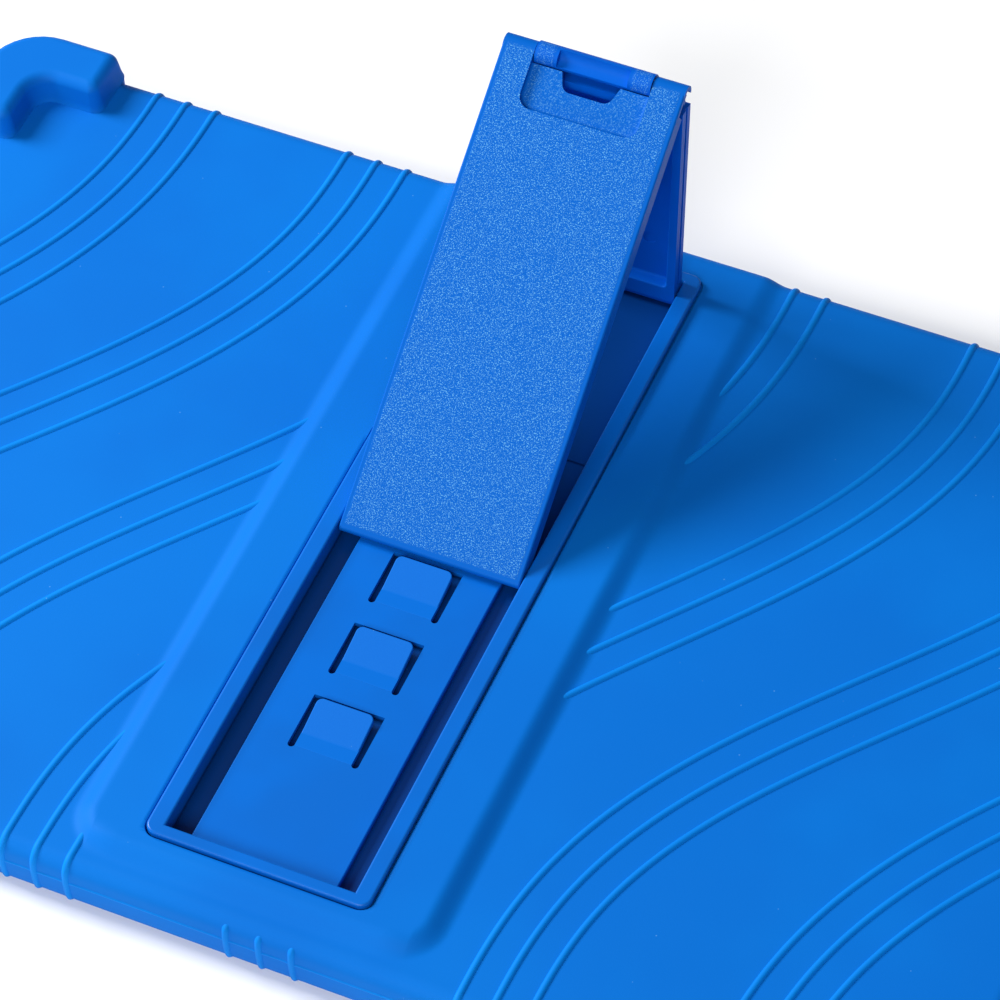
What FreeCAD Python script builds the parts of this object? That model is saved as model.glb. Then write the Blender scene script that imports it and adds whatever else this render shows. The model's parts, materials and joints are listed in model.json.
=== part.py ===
import FreeCAD, Part
import math
import os

# Tablet case: a silicone shell with a two-legged folding stand in its back.
# Millimetres. The case lies on its front lip with its back up: origin at the
# centre of the bounding box's bottom, +X along the case, +Y towards the edge
# that the stand's foot hinge is near, +Z up out of the back.

# ---- tablet and shell -------------------------------------------------------
tablet_length = 245.0
tablet_width = 158.9
tablet_thickness = 7.0
tablet_corner = 8.0
tablet_clearance = 0.2
side_wall = 3.0
back_wall = 2.4
lip_thickness = 1.2
lip_overhang = 2.5
back_edge_round = 3.0
front_edge_round = 2.0

# ---- raised band on the back, round the stand -------------------------------
band_half_width = 31.2
band_slope = 3.0
band_height = 1.2
band_near_setback = 3.9
band_far_setback = 1.5

# ---- corner bumpers ---------------------------------------------------------
bumper_proud = 1.4
bumper_height = 6.0
bumper_leg_x = 24.0
bumper_leg_y = 22.4
bumper_width_x = 12.1
bumper_width_y = 11.8
bumper_corner = 12.1
bumper_round = 2.0
bumper_foot_z = 0.8

# ---- openings in the shell --------------------------------------------------
camera_inset_x = 20.7
camera_inset_y = 18.9
camera_size = 20.0
camera_corner = 5.0
usb_length = 13.0
usb_height = 5.2
speaker_length = 16.0
speaker_height = 2.4
speaker_spread = 52.0
jack_diameter = 7.0
jack_y = 34.0

# ---- button covers ----------------------------------------------------------
button_height = 4.4
button_proud = 0.7
button_gap = 0.3
button_travel = 0.5
power_inset = 30.7
power_length = 11.0
volume_inset = 53.7
volume_length = 22.0
button_backlash = 0.3

# ---- stand tray -------------------------------------------------------------
bay_half_width = 17.72
bay_near_margin = 12.95
bay_far_margin = 9.14
tray_wall = 1.26
rim_side = 3.28
rim_near = 2.3
rim_far = 2.25
rim_gap = 0.15
rim_corner = 2.2
rim_edge_round = 0.5
bay_edge_round = 0.4
plate_edge_round = 0.25
tray_skin = 0.6
strut_floor_rise = 0.5
folded_gap = 0.3
strut_floor_setback = 5.75
plate_half_width = 13.7
plate_setback = 5.05
plate_depth = 2.7
plate_thickness = 1.0

# ---- frame that clamps the shell from inside --------------------------------
retainer_thickness = 0.8
retainer_margin = 4.5
retainer_gap = 0.1
retainer_corner = 2.0

# ---- stop tabs --------------------------------------------------------------
tab_count = 3
tab_pitch = 16.5
tab_half_width = 5.4
tab_length = 9.95
tab_rise = 1.2
tab_flat = 2.6
tab_corner = 1.2
tab_edge_round = 0.2
tab_slot = 1.3
tab_end_gap = 0.9
hinge_running_gap = 0.05

# ---- folding stand ----------------------------------------------------------
side_gap = 0.25
end_gap = 0.3
foot_gap = 0.6
hinge_radius = 1.8
strut_length = 48.7
strut_shoulder = 3.2
strut_flange = 1.75
strut_plate = 1.2
strut_groove = 0.25
recess_corner = 0.8
recess_fillet = 0.5
flange_edge_round = 0.3
ejector_radius = 1.3
ejector_depth = 0.12
ejector_inset_x = 4.4
ejector_inset_y = 9.0
foot_bar = 3.0
head_bar = 1.8
barrel_radius = 2.1
barrel_half_width = 11.15
barrel_scoop_half = 6.8
barrel_scoop_depth = 1.3
barrel_scoop_radius = 2.6
foot_pin_diameter = 1.5
apex_pin_diameter = 1.4
pin_setback = 0.1

panel_plate = 1.2
panel_lip = 1.1
panel_depth = 3.3
lip_setback = 1.9
panel_edge_depth = 1.8
panel_edge_width = 1.0
panel_edge_round = 0.35
panel_end_round = 0.8
knuckle_gap = 0.2
ear_shell = 0.8
ear_hood = 1.2
pocket_length = 8.3
pocket_depth = 1.2
pocket_floor = 1.0
pocket_wall = 1.2
pocket_corner = 2.5
pocket_fillet = 0.7
pocket_edge_round = 0.3
thumb_half_width = 5.6
thumb_taper = 1.2
thumb_depth = 3.4
thumb_corner = 1.8

# Open stand: how far the strut leans past upright, and where the panel's
# outer free edge then is, above the plate and past the end of the first tab.
open_lean = 7.1
open_edge_above_plate = 1.83
open_edge_past_tab = 0.57

# ---- worked out -------------------------------------------------------------
pocket_x = tablet_length / 2 + tablet_clearance
pocket_y = tablet_width / 2 + tablet_clearance
half_length = pocket_x + side_wall
half_width = pocket_y + side_wall
ceiling_z = lip_thickness + tablet_thickness + tablet_clearance
back_z = ceiling_z + back_wall
band_z = back_z + band_height
channel_z = ceiling_z + tray_skin
strut_floor_z = channel_z + strut_floor_rise
rim_z = strut_floor_z + folded_gap + 2 * hinge_radius
plate_z = rim_z - plate_depth
bay_near_y = bay_near_margin - half_width
bay_far_y = half_width - bay_far_margin
band_near_y = band_near_setback - half_width
tray_half_width = bay_half_width + tray_wall
tray_near_y = bay_near_y - tray_wall
tray_far_y = bay_far_y + tray_wall
shell_corner = bumper_corner - bumper_proud

leg_half_width = bay_half_width - side_gap
notch_half_width = barrel_half_width + knuckle_gap
foot_y = bay_far_y - hinge_radius - foot_gap
foot_z = rim_z - hinge_radius
flat_apex_y = foot_y - strut_length
panel_length = flat_apex_y - bay_near_y - end_gap
plate_far_y = flat_apex_y - barrel_radius - plate_setback
strut_floor_y = flat_apex_y + barrel_radius + strut_floor_setback
open_edge_z = plate_z + open_edge_above_plate
foot_pin_radius = foot_pin_diameter / 2
apex_pin_radius = apex_pin_diameter / 2
tab_axis_z = plate_z - plate_thickness / 2

FAR = 400.0


# ---- small helpers ----------------------------------------------------------
def vec(x, y, z):
    return FreeCAD.Vector(x, y, z)


def block(x0, x1, y0, y1, z0, z1):
    return Part.makeBox(x1 - x0, y1 - y0, z1 - z0, vec(x0, y0, z0))


def rod(radius, x0, x1, y, z):
    """Cylinder along X."""
    return Part.makeCylinder(radius, x1 - x0, vec(x0, y, z), vec(1, 0, 0))


def post(radius, x, y, z0, z1):
    """Cylinder along Z."""
    return Part.makeCylinder(radius, z1 - z0, vec(x, y, z0))


def upright_edges(shape):
    found = []
    for edge in shape.Edges:
        box = edge.BoundBox
        if box.XLength < 1e-4 and box.YLength < 1e-4:
            found.append(edge)
    return found


def edges_at_z(shape, z):
    found = []
    for edge in shape.Edges:
        box = edge.BoundBox
        if abs(box.ZMin - z) < 1e-4 and abs(box.ZMax - z) < 1e-4:
            found.append(edge)
    return found


def rounded_block(x0, x1, y0, y1, z0, z1, radius):
    """Block with rounded upright edges."""
    solid = block(x0, x1, y0, y1, z0, z1)
    return solid.makeFillet(radius, upright_edges(solid))


def prism_x(points, x0, x1):
    """Outline of (y, z) points swept along X."""
    corners = [vec(x0, y, z) for y, z in points]
    face = Part.Face(Part.makePolygon(corners + corners[:1]))
    return face.extrude(vec(x1 - x0, 0, 0))


def prism_z(points, z0, z1):
    """Outline of (x, y) points swept along Z."""
    corners = [vec(x, y, z0) for x, y in points]
    face = Part.Face(Part.makePolygon(corners + corners[:1]))
    return face.extrude(vec(0, 0, z1 - z0))


def save(name, shape):
    shape = shape.removeSplitter()
    if shape.ShapeType == "Compound" and len(shape.Solids) == 1:
        shape = shape.Solids[0]
    print(name, "valid", shape.isValid(), "solids", len(shape.Solids), "volume %.1f" % shape.Volume)
    shape.exportStep("parts/" + name + ".step")


# ---- open stand -------------------------------------------------------------
strut_turn = -90.0 - open_lean
apex_y = foot_y + strut_length * math.sin(math.radians(open_lean))
apex_z = foot_z + strut_length * math.cos(math.radians(open_lean))

# The free edge is reached from the apex along the panel and out to its face.
edge_reach = math.hypot(panel_length, hinge_radius)
edge_drop = apex_z - open_edge_z
open_edge_y = apex_y - math.sqrt(edge_reach ** 2 - edge_drop ** 2)
face_angle = math.degrees(math.atan2(hinge_radius, panel_length))
panel_turn = math.degrees(math.asin(edge_drop / edge_reach)) + face_angle
first_slot_y = open_edge_y - open_edge_past_tab - tab_length - tab_slot / 2


def open_strut(solid):
    """From flat, hinge axis at the origin, to its place in the open stand."""
    solid.rotate(vec(0, 0, 0), vec(1, 0, 0), strut_turn)
    solid.translate(vec(0, foot_y, foot_z))
    return solid


def open_panel(solid):
    solid.rotate(vec(0, 0, 0), vec(1, 0, 0), panel_turn)
    solid.translate(vec(0, apex_y, apex_z))
    return solid


# ---- silicone shell ---------------------------------------------------------
def shell_body():
    body = rounded_block(-half_length, half_length, -half_width, half_width, 0, back_z, shell_corner)
    body = body.makeFillet(back_edge_round, edges_at_z(body, back_z))
    return body.makeFillet(front_edge_round, edges_at_z(body, 0))


def raised_band():
    """Low wide band with sloping sides, from its near end to the far edge."""
    foot = band_half_width + band_slope
    far_y = half_width - band_far_setback
    base = back_z - 1.0
    side = [(-foot, base), (-foot, back_z), (-band_half_width, band_z),
            (band_half_width, band_z), (foot, back_z), (foot, base)]
    corners = [vec(x, band_near_y, z) for x, z in side]
    face = Part.Face(Part.makePolygon(corners + corners[:1]))
    band = face.extrude(vec(0, far_y - band_near_y, 0))
    ramp = [(band_near_y - 1, back_z), (band_near_y, back_z),
            (band_near_y + band_slope, band_z), (band_near_y + band_slope, band_z + 1),
            (band_near_y - 1, band_z + 1)]
    return band.cut(prism_x(ramp, -foot - 1, foot + 1))


def is_outer_corner(edge, out_x, out_y):
    spot = edge.Vertexes[0].Point
    return abs(abs(spot.x) - out_x) < 1e-3 and abs(abs(spot.y) - out_y) < 1e-3


def bumper(sign_x, sign_y):
    """L-shaped pad that stands out of the back and wraps one corner."""
    out_x = half_length + bumper_proud
    out_y = half_width + bumper_proud
    end_x = half_length - bumper_leg_x
    end_y = half_width - bumper_leg_y
    in_x = out_x - bumper_width_x
    in_y = out_y - bumper_width_y
    outline = [(out_x, out_y), (end_x, out_y), (end_x, in_y), (in_x, in_y), (in_x, end_y), (out_x, end_y)]
    outline = [(sign_x * x, sign_y * y) for x, y in outline]
    pad = prism_z(outline, bumper_foot_z, back_z + bumper_height)
    inner = [e for e in upright_edges(pad) if not is_outer_corner(e, out_x, out_y)]
    pad = pad.makeFillet(bumper_round, inner)
    outer = [e for e in upright_edges(pad) if is_outer_corner(e, out_x, out_y)]
    pad = pad.makeFillet(bumper_corner, outer)
    return pad.makeFillet(bumper_round * 0.9, edges_at_z(pad, back_z + bumper_height))


def tablet_space():
    pocket = rounded_block(-pocket_x, pocket_x, -pocket_y, pocket_y, lip_thickness, ceiling_z, tablet_corner)
    screen_x = pocket_x - lip_overhang
    screen_y = pocket_y - lip_overhang
    screen_corner = tablet_corner - lip_overhang
    screen = rounded_block(-screen_x, screen_x, -screen_y, screen_y, -1, lip_thickness + 1, screen_corner)
    return pocket.fuse(screen)


def stand_window():
    window = block(-tray_half_width - retainer_gap, tray_half_width + retainer_gap,
                   tray_near_y - retainer_gap, tray_far_y + retainer_gap, ceiling_z - 1, band_z + 1)
    return window.fuse(retainer_outline(retainer_gap, ceiling_z - 1, ceiling_z + retainer_thickness))


def camera_opening():
    x = camera_inset_x - pocket_x
    y = camera_inset_y - pocket_y
    half = camera_size / 2
    return rounded_block(x - half, x + half, y - half, y + half, ceiling_z - 1, back_z + 1, camera_corner)


def side_slot(side, y, length, height):
    """Round-ended slot through a short side, at the tablet's mid height."""
    z = lip_thickness + tablet_thickness / 2
    x0 = side * (pocket_x - 1)
    x1 = side * (half_length + bumper_proud + 1)
    x0, x1 = min(x0, x1), max(x0, x1)
    reach = length / 2 - height / 2
    slot = block(x0, x1, y - reach, y + reach, z - height / 2, z + height / 2)
    slot = slot.fuse(rod(height / 2, x0, x1, y - reach, z))
    return slot.fuse(rod(height / 2, x0, x1, y + reach, z))


def button_outline(x, length, margin, y0, y1):
    z = lip_thickness + tablet_thickness / 2
    half = length / 2 + margin
    rise = button_height / 2 + margin
    solid = block(x - half, x + half, y0, y1, z - rise, z + rise)
    along_y = [e for e in solid.Edges if e.BoundBox.XLength < 1e-4 and e.BoundBox.ZLength < 1e-4]
    return solid.makeFillet(rise * 0.6, along_y)


def silicone_shell():
    shell = shell_body().fuse(raised_band())
    for sign_x in (-1, 1):
        for sign_y in (-1, 1):
            shell = shell.fuse(bumper(sign_x, sign_y))
    shell = shell.cut(tablet_space())
    shell = shell.cut(stand_window())
    shell = shell.cut(camera_opening())
    shell = shell.cut(side_slot(1, 0, usb_length, usb_height))
    shell = shell.cut(side_slot(-1, jack_y, jack_diameter, jack_diameter * 0.999))
    for side in (-1, 1):
        for y in (-speaker_spread, speaker_spread):
            shell = shell.cut(side_slot(side, y, speaker_length, speaker_height))
    for inset, length in ((power_inset, power_length), (volume_inset, volume_length)):
        hole = button_outline(inset - pocket_x, length, button_gap, -half_width - 5, -pocket_y + 1)
        shell = shell.cut(hole)
    return shell


def button(inset, length):
    outer = -half_width - button_proud
    inner = -pocket_y - button_travel - button_backlash
    pad = button_outline(inset - pocket_x, length, 0, outer, inner)
    face = [e for e in pad.Edges if abs(e.BoundBox.YMax - outer) < 1e-4]
    return pad.makeFillet(button_proud * 0.8, face)


# ---- stand tray -------------------------------------------------------------
def retainer_outline(gap, z0, z1):
    reach_x = tray_half_width + retainer_margin + gap
    near = tray_near_y - retainer_margin - gap
    far = min(tray_far_y + retainer_margin, pocket_y - 1.0) + gap
    return rounded_block(-reach_x, reach_x, near, far, z0, z1, retainer_corner)


def retainer_frame():
    frame = retainer_outline(0, ceiling_z, ceiling_z + retainer_thickness)
    hole = block(-tray_half_width, tray_half_width, tray_near_y, tray_far_y, ceiling_z - 1, band_z)
    return frame.cut(hole)


def tray_rim():
    reach = bay_half_width + rim_side
    rim = rounded_block(-reach, reach, bay_near_y - rim_near, bay_far_y + rim_far,
                        band_z + rim_gap, rim_z, rim_corner)
    return rim.makeFillet(rim_edge_round, edges_at_z(rim, rim_z))


def slot_starts():
    return [first_slot_y - n * tab_pitch for n in range(tab_count)]


def tab_axis_y(start_y):
    return start_y + tab_slot / 2


def tab_opening(start_y):
    """Window round one tab: two round-ended slots, the end gap and the root."""
    axis_y = tab_axis_y(start_y)
    far = axis_y + tab_length + tab_end_gap
    outer = tab_half_width + tab_slot
    low = channel_z
    opening = block(-outer, outer, axis_y, far, low, plate_z + 1)
    for side in (-1, 1):
        x = side * (tab_half_width + tab_slot / 2)
        opening = opening.fuse(post(tab_slot / 2, x, axis_y, low, plate_z + 1))
    root = rod(plate_thickness / 2 + hinge_running_gap, -tab_half_width - 0.1, tab_half_width + 0.1,
               axis_y, tab_axis_z)
    return opening.fuse(root)


def is_bay_edge(edge):
    box = edge.BoundBox
    return max(abs(box.XMin), abs(box.XMax)) < bay_half_width + 1e-3 and box.YMin > bay_near_y - 1e-3


def is_plate_edge(edge):
    return edge.BoundBox.YMax > bay_near_y + 1e-3


def stand_tray():
    tray = block(-tray_half_width, tray_half_width, tray_near_y, tray_far_y, ceiling_z, (band_z + rim_gap + rim_z) / 2)
    tray = tray.fuse(tray_rim())
    tray = tray.cut(block(-bay_half_width, bay_half_width, bay_near_y, bay_far_y, channel_z, rim_z + 1))
    tray = tray.fuse(block(-plate_half_width, plate_half_width, bay_near_y, plate_far_y, channel_z - 0.1, plate_z))
    tray = tray.fuse(block(-bay_half_width, bay_half_width, strut_floor_y, bay_far_y,
                           channel_z - 0.1, strut_floor_z))
    tray = tray.makeFillet(bay_edge_round, [e for e in edges_at_z(tray, rim_z) if is_bay_edge(e)])
    tray = tray.makeFillet(plate_edge_round, [e for e in edges_at_z(tray, plate_z) if is_plate_edge(e)])
    web = plate_half_width - plate_thickness
    hollow = block(-web, web, bay_near_y + plate_thickness, plate_far_y - plate_thickness,
                   channel_z, plate_z - plate_thickness)
    tray = tray.cut(hollow)
    for start_y in slot_starts():
        tray = tray.cut(tab_opening(start_y))
    return tray.cut(rod(foot_pin_radius, -tray_half_width - 1, tray_half_width + 1, foot_y, foot_z))


def stop_tab(start_y):
    """Springy tongue: flat at its root, then a wedge that rises to its free end."""
    axis_y = tab_axis_y(start_y)
    low = plate_z - plate_thickness
    end_y = axis_y + tab_length
    bend_y = axis_y + tab_flat
    end_top = plate_z + tab_rise
    profile = [(axis_y, low), (bend_y, low), (end_y, low + tab_rise), (end_y, end_top),
               (bend_y, plate_z), (axis_y, plate_z)]
    tab = prism_x(profile, -tab_half_width, tab_half_width)
    ends = [e for e in upright_edges(tab) if e.BoundBox.YMax > end_y - 1e-3]
    tab = tab.makeFillet(tab_corner, ends)
    wedge_rim = []
    for edge in tab.Edges:
        box = edge.BoundBox
        if box.YMax > bend_y + 1e-3 and box.ZMax > end_top - 1e-3 and box.ZMin > plate_z - 1e-3:
            wedge_rim.append(edge)
    tab = tab.makeFillet(tab_edge_round, wedge_rim)
    return tab.fuse(rod(plate_thickness / 2, -tab_half_width, tab_half_width, axis_y, tab_axis_z))


# ---- strut ------------------------------------------------------------------
def is_recess_mouth(edge, inner):
    box = edge.BoundBox
    return max(abs(box.XMin), abs(box.XMax)) < inner + 1e-3 and box.YMax < -1e-3 - foot_bar / 2


def strut():
    """Rear leg. Built flat: foot axis at the origin, running towards -Y, outer face up."""
    top = hinge_radius
    shoulder_y = strut_shoulder - strut_length
    leg = block(-leg_half_width, leg_half_width, shoulder_y, 0, -top, top)
    leg = leg.fuse(rod(hinge_radius, -leg_half_width, leg_half_width, 0, 0))
    leg = leg.fuse(block(-barrel_half_width, barrel_half_width, -strut_length, shoulder_y + 1, top - strut_plate, top))
    inner = leg_half_width - strut_flange
    deep = top - strut_plate
    recess = rounded_block(-inner, inner, shoulder_y + head_bar, -foot_bar, -top - 1, deep, recess_corner)
    recess = recess.makeFillet(recess_fillet, edges_at_z(recess, deep))
    leg = leg.cut(recess)
    mouth = [e for e in edges_at_z(leg, -top) if is_recess_mouth(e, inner)]
    leg = leg.makeFillet(flange_edge_round, mouth)
    for side in (-1, 1):
        x = side * (inner - ejector_inset_x)
        leg = leg.cut(post(ejector_radius, x, -foot_bar - ejector_inset_y, deep - 1, deep + ejector_depth))
    leg = leg.fuse(rod(barrel_radius, -barrel_half_width, barrel_half_width, -strut_length, 0))
    for side in (-1, 1):
        x0 = side * leg_half_width - strut_groove
        groove = block(x0, x0 + 2 * strut_groove, shoulder_y - 1, -foot_bar, -0.3, 0.5)
        leg = leg.cut(groove)
    leg = leg.cut(barrel_scoop())
    leg = leg.cut(rod(foot_pin_radius + hinge_running_gap, -FAR, FAR, 0, 0))
    leg = leg.cut(rod(apex_pin_radius + hinge_running_gap, -FAR, FAR, -strut_length, 0))
    return open_strut(leg)


def barrel_scoop():
    """Finger hollow across the barrel, on the side that faces the panel when open."""
    toward = math.radians(135.0 - strut_turn)
    away = barrel_radius - barrel_scoop_depth + barrel_scoop_radius
    y = -strut_length + away * math.cos(toward)
    z = away * math.sin(toward)
    return rod(barrel_scoop_radius, -barrel_scoop_half, barrel_scoop_half, y, z)


# ---- panel ------------------------------------------------------------------
def panel_ear(side):
    """Rounded end of the plate that wraps the apex pin on one side of the barrel."""
    outer = leg_half_width
    x0, x1 = sorted((side * notch_half_width, side * outer))
    ear = rod(hinge_radius, x0, x1, 0, 0)
    h0, h1 = sorted((side * (outer - ear_hood), side * (outer + 1)))
    hood = rod(hinge_radius - ear_shell, h0, h1, 0, 0)
    hood = hood.fuse(block(h0, h1, -hinge_radius * 1.5, hinge_radius * 0.5, -hinge_radius - 1, 0))
    return ear.cut(hood)


def panel():
    """Front leg. Built flat: apex axis at the origin, running towards -Y, outer face up."""
    top = hinge_radius
    half = leg_half_width
    notch_y = -barrel_radius - knuckle_gap
    lip_end_y = notch_y - lip_setback
    leg = block(-half, half, -panel_length, 0, top - panel_plate, top)
    leg = leg.fuse(block(-half, half, -panel_length, -panel_length + panel_edge_width,
                         top - panel_edge_depth, top - panel_plate / 2))
    for side in (-1, 1):
        x0, x1 = sorted((side * (half - panel_lip), side * half))
        leg = leg.fuse(block(x0, x1, -panel_length, lip_end_y, top - panel_depth, top - panel_plate / 2))
    leg = leg.removeSplitter()
    rim = edges_at_z(leg, top)
    leg = leg.makeFillet(panel_end_round, [e for e in rim if e.BoundBox.YMax < 1e-3 - panel_length])
    rim = [e for e in edges_at_z(leg, top) if e.BoundBox.XLength < 1e-3]
    leg = leg.makeFillet(panel_edge_round, rim)
    wall = notch_half_width + pocket_wall
    pocket_y0 = notch_y - pocket_length
    leg = leg.fuse(block(-wall, wall, pocket_y0 - pocket_wall, notch_y,
                         top - pocket_depth - pocket_floor, top - panel_plate))
    leg = leg.cut(block(-notch_half_width, notch_half_width, notch_y, FAR, -FAR, FAR))
    for side in (-1, 1):
        leg = leg.fuse(panel_ear(side))
    pocket = rounded_block(-notch_half_width, notch_half_width, pocket_y0, notch_y + 10,
                           top - pocket_depth, top + 1, pocket_corner)
    pocket = pocket.makeFillet(pocket_fillet, edges_at_z(pocket, top - pocket_depth))
    leg = leg.cut(pocket)
    deep_y = notch_y - thumb_depth
    narrow = thumb_half_width - thumb_taper
    past_y = notch_y + thumb_depth
    thumb = prism_z([(-narrow, deep_y), (narrow, deep_y), (thumb_half_width + thumb_taper, past_y),
                     (-thumb_half_width - thumb_taper, past_y)], -FAR, FAR)
    thumb = thumb.makeFillet(thumb_corner, [e for e in upright_edges(thumb) if e.BoundBox.YMax < notch_y])
    leg = leg.cut(thumb)
    blind = leg_half_width - ear_hood
    leg = leg.cut(rod(apex_pin_radius, -FAR, blind, 0, 0))
    return open_panel(leg)


# ---- pins -------------------------------------------------------------------
def foot_pin():
    reach = tray_half_width - pin_setback
    return rod(foot_pin_radius, -reach, reach, foot_y, foot_z)


def apex_pin():
    reach = leg_half_width - ear_hood - pin_setback
    return rod(apex_pin_radius, -reach, reach, apex_y, apex_z)


# ---- build ------------------------------------------------------------------
os.makedirs("parts", exist_ok=True)
save("silicone_shell", silicone_shell())
save("stand_tray", stand_tray())
save("retainer_frame", retainer_frame())
for number, start in enumerate(slot_starts(), 1):
    save("stop_tab_%d" % number, stop_tab(start))
save("strut", strut())
save("panel", panel())
save("foot_pin", foot_pin())
save("apex_pin", apex_pin())
save("power_button", button(power_inset, power_length))
save("volume_button", button(volume_inset, volume_length))

print("foot axis", foot_y, foot_z, "apex axis", apex_y, apex_z)
print("strut turn", strut_turn, "panel turn", panel_turn)
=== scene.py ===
import json
import math

import bmesh
import bpy
from mathutils import Euler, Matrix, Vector


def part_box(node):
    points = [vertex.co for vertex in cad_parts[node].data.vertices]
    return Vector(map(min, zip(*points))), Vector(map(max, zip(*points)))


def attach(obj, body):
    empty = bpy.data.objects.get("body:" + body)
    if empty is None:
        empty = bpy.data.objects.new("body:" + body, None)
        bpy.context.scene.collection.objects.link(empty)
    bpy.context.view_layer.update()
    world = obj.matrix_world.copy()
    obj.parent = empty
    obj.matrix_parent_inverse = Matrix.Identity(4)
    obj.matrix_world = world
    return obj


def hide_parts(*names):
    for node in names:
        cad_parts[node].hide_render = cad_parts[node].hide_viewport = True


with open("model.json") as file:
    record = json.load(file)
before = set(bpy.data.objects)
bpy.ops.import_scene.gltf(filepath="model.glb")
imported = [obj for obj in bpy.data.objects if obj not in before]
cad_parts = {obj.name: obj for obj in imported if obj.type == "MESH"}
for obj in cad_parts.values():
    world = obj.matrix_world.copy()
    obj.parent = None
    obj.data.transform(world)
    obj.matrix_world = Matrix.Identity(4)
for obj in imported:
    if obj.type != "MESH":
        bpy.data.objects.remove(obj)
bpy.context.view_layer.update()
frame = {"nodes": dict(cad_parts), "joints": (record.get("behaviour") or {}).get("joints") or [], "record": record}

# Tablet case lying on its front lip with the stand open: metres, +Z out of the back.
MM = 0.001

# ---- sizes of the silicone shell ---------------------------------------------
BUMPER_PROUD = 1.4 * MM
BUMPER_RISE = 6.0 * MM
BACK_WALL = 2.4 * MM
BACK_ROUND = 3.0 * MM
LIP_ROUND = 2.0 * MM
WALL_BULGE_DEG = 10.0
LIP_OVERHANG = 2.5 * MM
SIDE_WALL = 3.0 * MM
TABLET_CORNER = 8.0 * MM
BAND_RISE = 1.2 * MM
BAND_SKIN_RISE = 1.85 * MM
BAND_TOP_X = 30.4 * MM
BAND_FOOT_X = 34.8 * MM
BAND_TOP_NEAR = 8.6 * MM
BAND_FOOT_NEAR = 3.2 * MM
BAND_CORNER = 4.5 * MM

# ---- bumpers -----------------------------------------------------------------
BUMPER_CORNER = 12.1 * MM
BUMPER_LEG_X = 23.5 * MM
BUMPER_LEG_Y = 22.4 * MM
BUMPER_WIDTH_X = 12.1 * MM
BUMPER_WIDTH_Y = 11.8 * MM
BUMPER_END_ROUND = 2.2 * MM
BUMPER_INNER_ROUND = 4.0 * MM
BUMPER_TOP_ROUND = 1.9 * MM
BUMPER_FOOT_Z = 0.8 * MM
BUMPER_FLARE = 0.25 * MM
END_DRAFT = 1.0 * MM
INNER_DRAFT = 1.0 * MM
OUTER_DRAFT = 0.7 * MM

# ---- openings ----------------------------------------------------------------
CAMERA_HALF = 10.0 * MM
CAMERA_CORNER = 5.0 * MM
OPENING_FLARE = 0.9 * MM
USB_SIZE = (13.0 * MM, 5.2 * MM)
JACK_SIZE = (7.0 * MM, 7.0 * MM)
SPEAKER_SIZE = (16.0 * MM, 2.4 * MM)
SPEAKER_Y = 52.0 * MM
SPEAKER_FLARE = 0.5 * MM
BUTTON_GAP = 0.3 * MM
WINDOW_GAP = 0.1 * MM
GROOVE_GAP = 0.32 * MM
GROOVE_DEPTH = 0.6 * MM
RIM_CORNER = 2.2 * MM
RETAINER_CORNER = 2.0 * MM
TRAY_RIM_X = 2.02 * MM
TRAY_RIM_NEAR = 1.04 * MM
TRAY_RIM_FAR = 0.99 * MM

# ---- stand -------------------------------------------------------------------
HINGE_RADIUS = 1.8 * MM
TAB_RISE = 1.2 * MM

# ---- wave ribs and parting line ----------------------------------------------
RIB_WIDTH = 1.35 * MM
RIB_HEIGHT = 0.42 * MM
RIB_PITCH = 6.1 * MM
RIBS_IN_GROUP = 3
WAVE_FAR_Y = 81.3 * MM
WAVE_SPAN = 162.0 * MM
# Share of the steeper wave, and how much sooner the groups from FIRST_EARLY on cross over.
WAVE_STEEP = 0.7
WAVE_EARLY = 0.022
FIRST_EARLY = 4
# Where each group of ribs meets the far long edge, and then the near one.
WAVES = [(-94.3 * MM, -168.5 * MM), (-54.2 * MM, -129.5 * MM), (-12.0 * MM, -85.5 * MM),
         (30.5 * MM, -43.0 * MM), (71.5 * MM, -0.7 * MM), (117.0 * MM, 41.2 * MM),
         (158.5 * MM, 84.0 * MM), (200.0 * MM, 126.0 * MM)]
PARTING_Z = 6.5 * MM
PARTING_WIDTH = 0.56 * MM
PARTING_HEIGHT = 0.17 * MM

# ---- read from the frame -----------------------------------------------------
shell_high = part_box("silicone_shell")[1]
tray_low, tray_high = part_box("stand_tray")
retainer_low, retainer_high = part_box("retainer_frame")
joints = {joint["name"]: joint for joint in frame["joints"]}
openings = {o["name"]: o["box_m"] for o in frame["record"]["physics"]["openings"]}

half_length = shell_high.x - BUMPER_PROUD
half_width = shell_high.y - BUMPER_PROUD
shell_corner = BUMPER_CORNER - BUMPER_PROUD
back_z = shell_high.z - BUMPER_RISE
band_z = back_z + BAND_RISE
ceiling_z = back_z - BACK_WALL
flat_x = half_length - BACK_ROUND
flat_y = half_width - BACK_ROUND
flat_corner = shell_corner - BACK_ROUND
pocket_x = half_length - SIDE_WALL
pocket_y = half_width - SIDE_WALL
apex = Vector(joints["panel_fold"]["pos_m"])
strut_fold = joints["strut_fold"]["range_deg"]
panel_fold = joints["panel_fold"]["range_deg"]
panel_lean = math.radians((panel_fold[1] - panel_fold[0]) - (strut_fold[1] - strut_fold[0]))
panel_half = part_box("panel")[1].x
panel_reach = apex.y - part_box("panel")[0].y - HINGE_RADIUS * math.sin(panel_lean)
panel_foot = -panel_reach / math.cos(panel_lean)
plate_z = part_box("stop_tab_1")[1].z - TAB_RISE


# ---- mesh helpers ------------------------------------------------------------
def smooth_step(low, high, value):
    t = min(max((value - low) / (high - low), 0.0), 1.0)
    return t * t * (3.0 - 2.0 * t)


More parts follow.
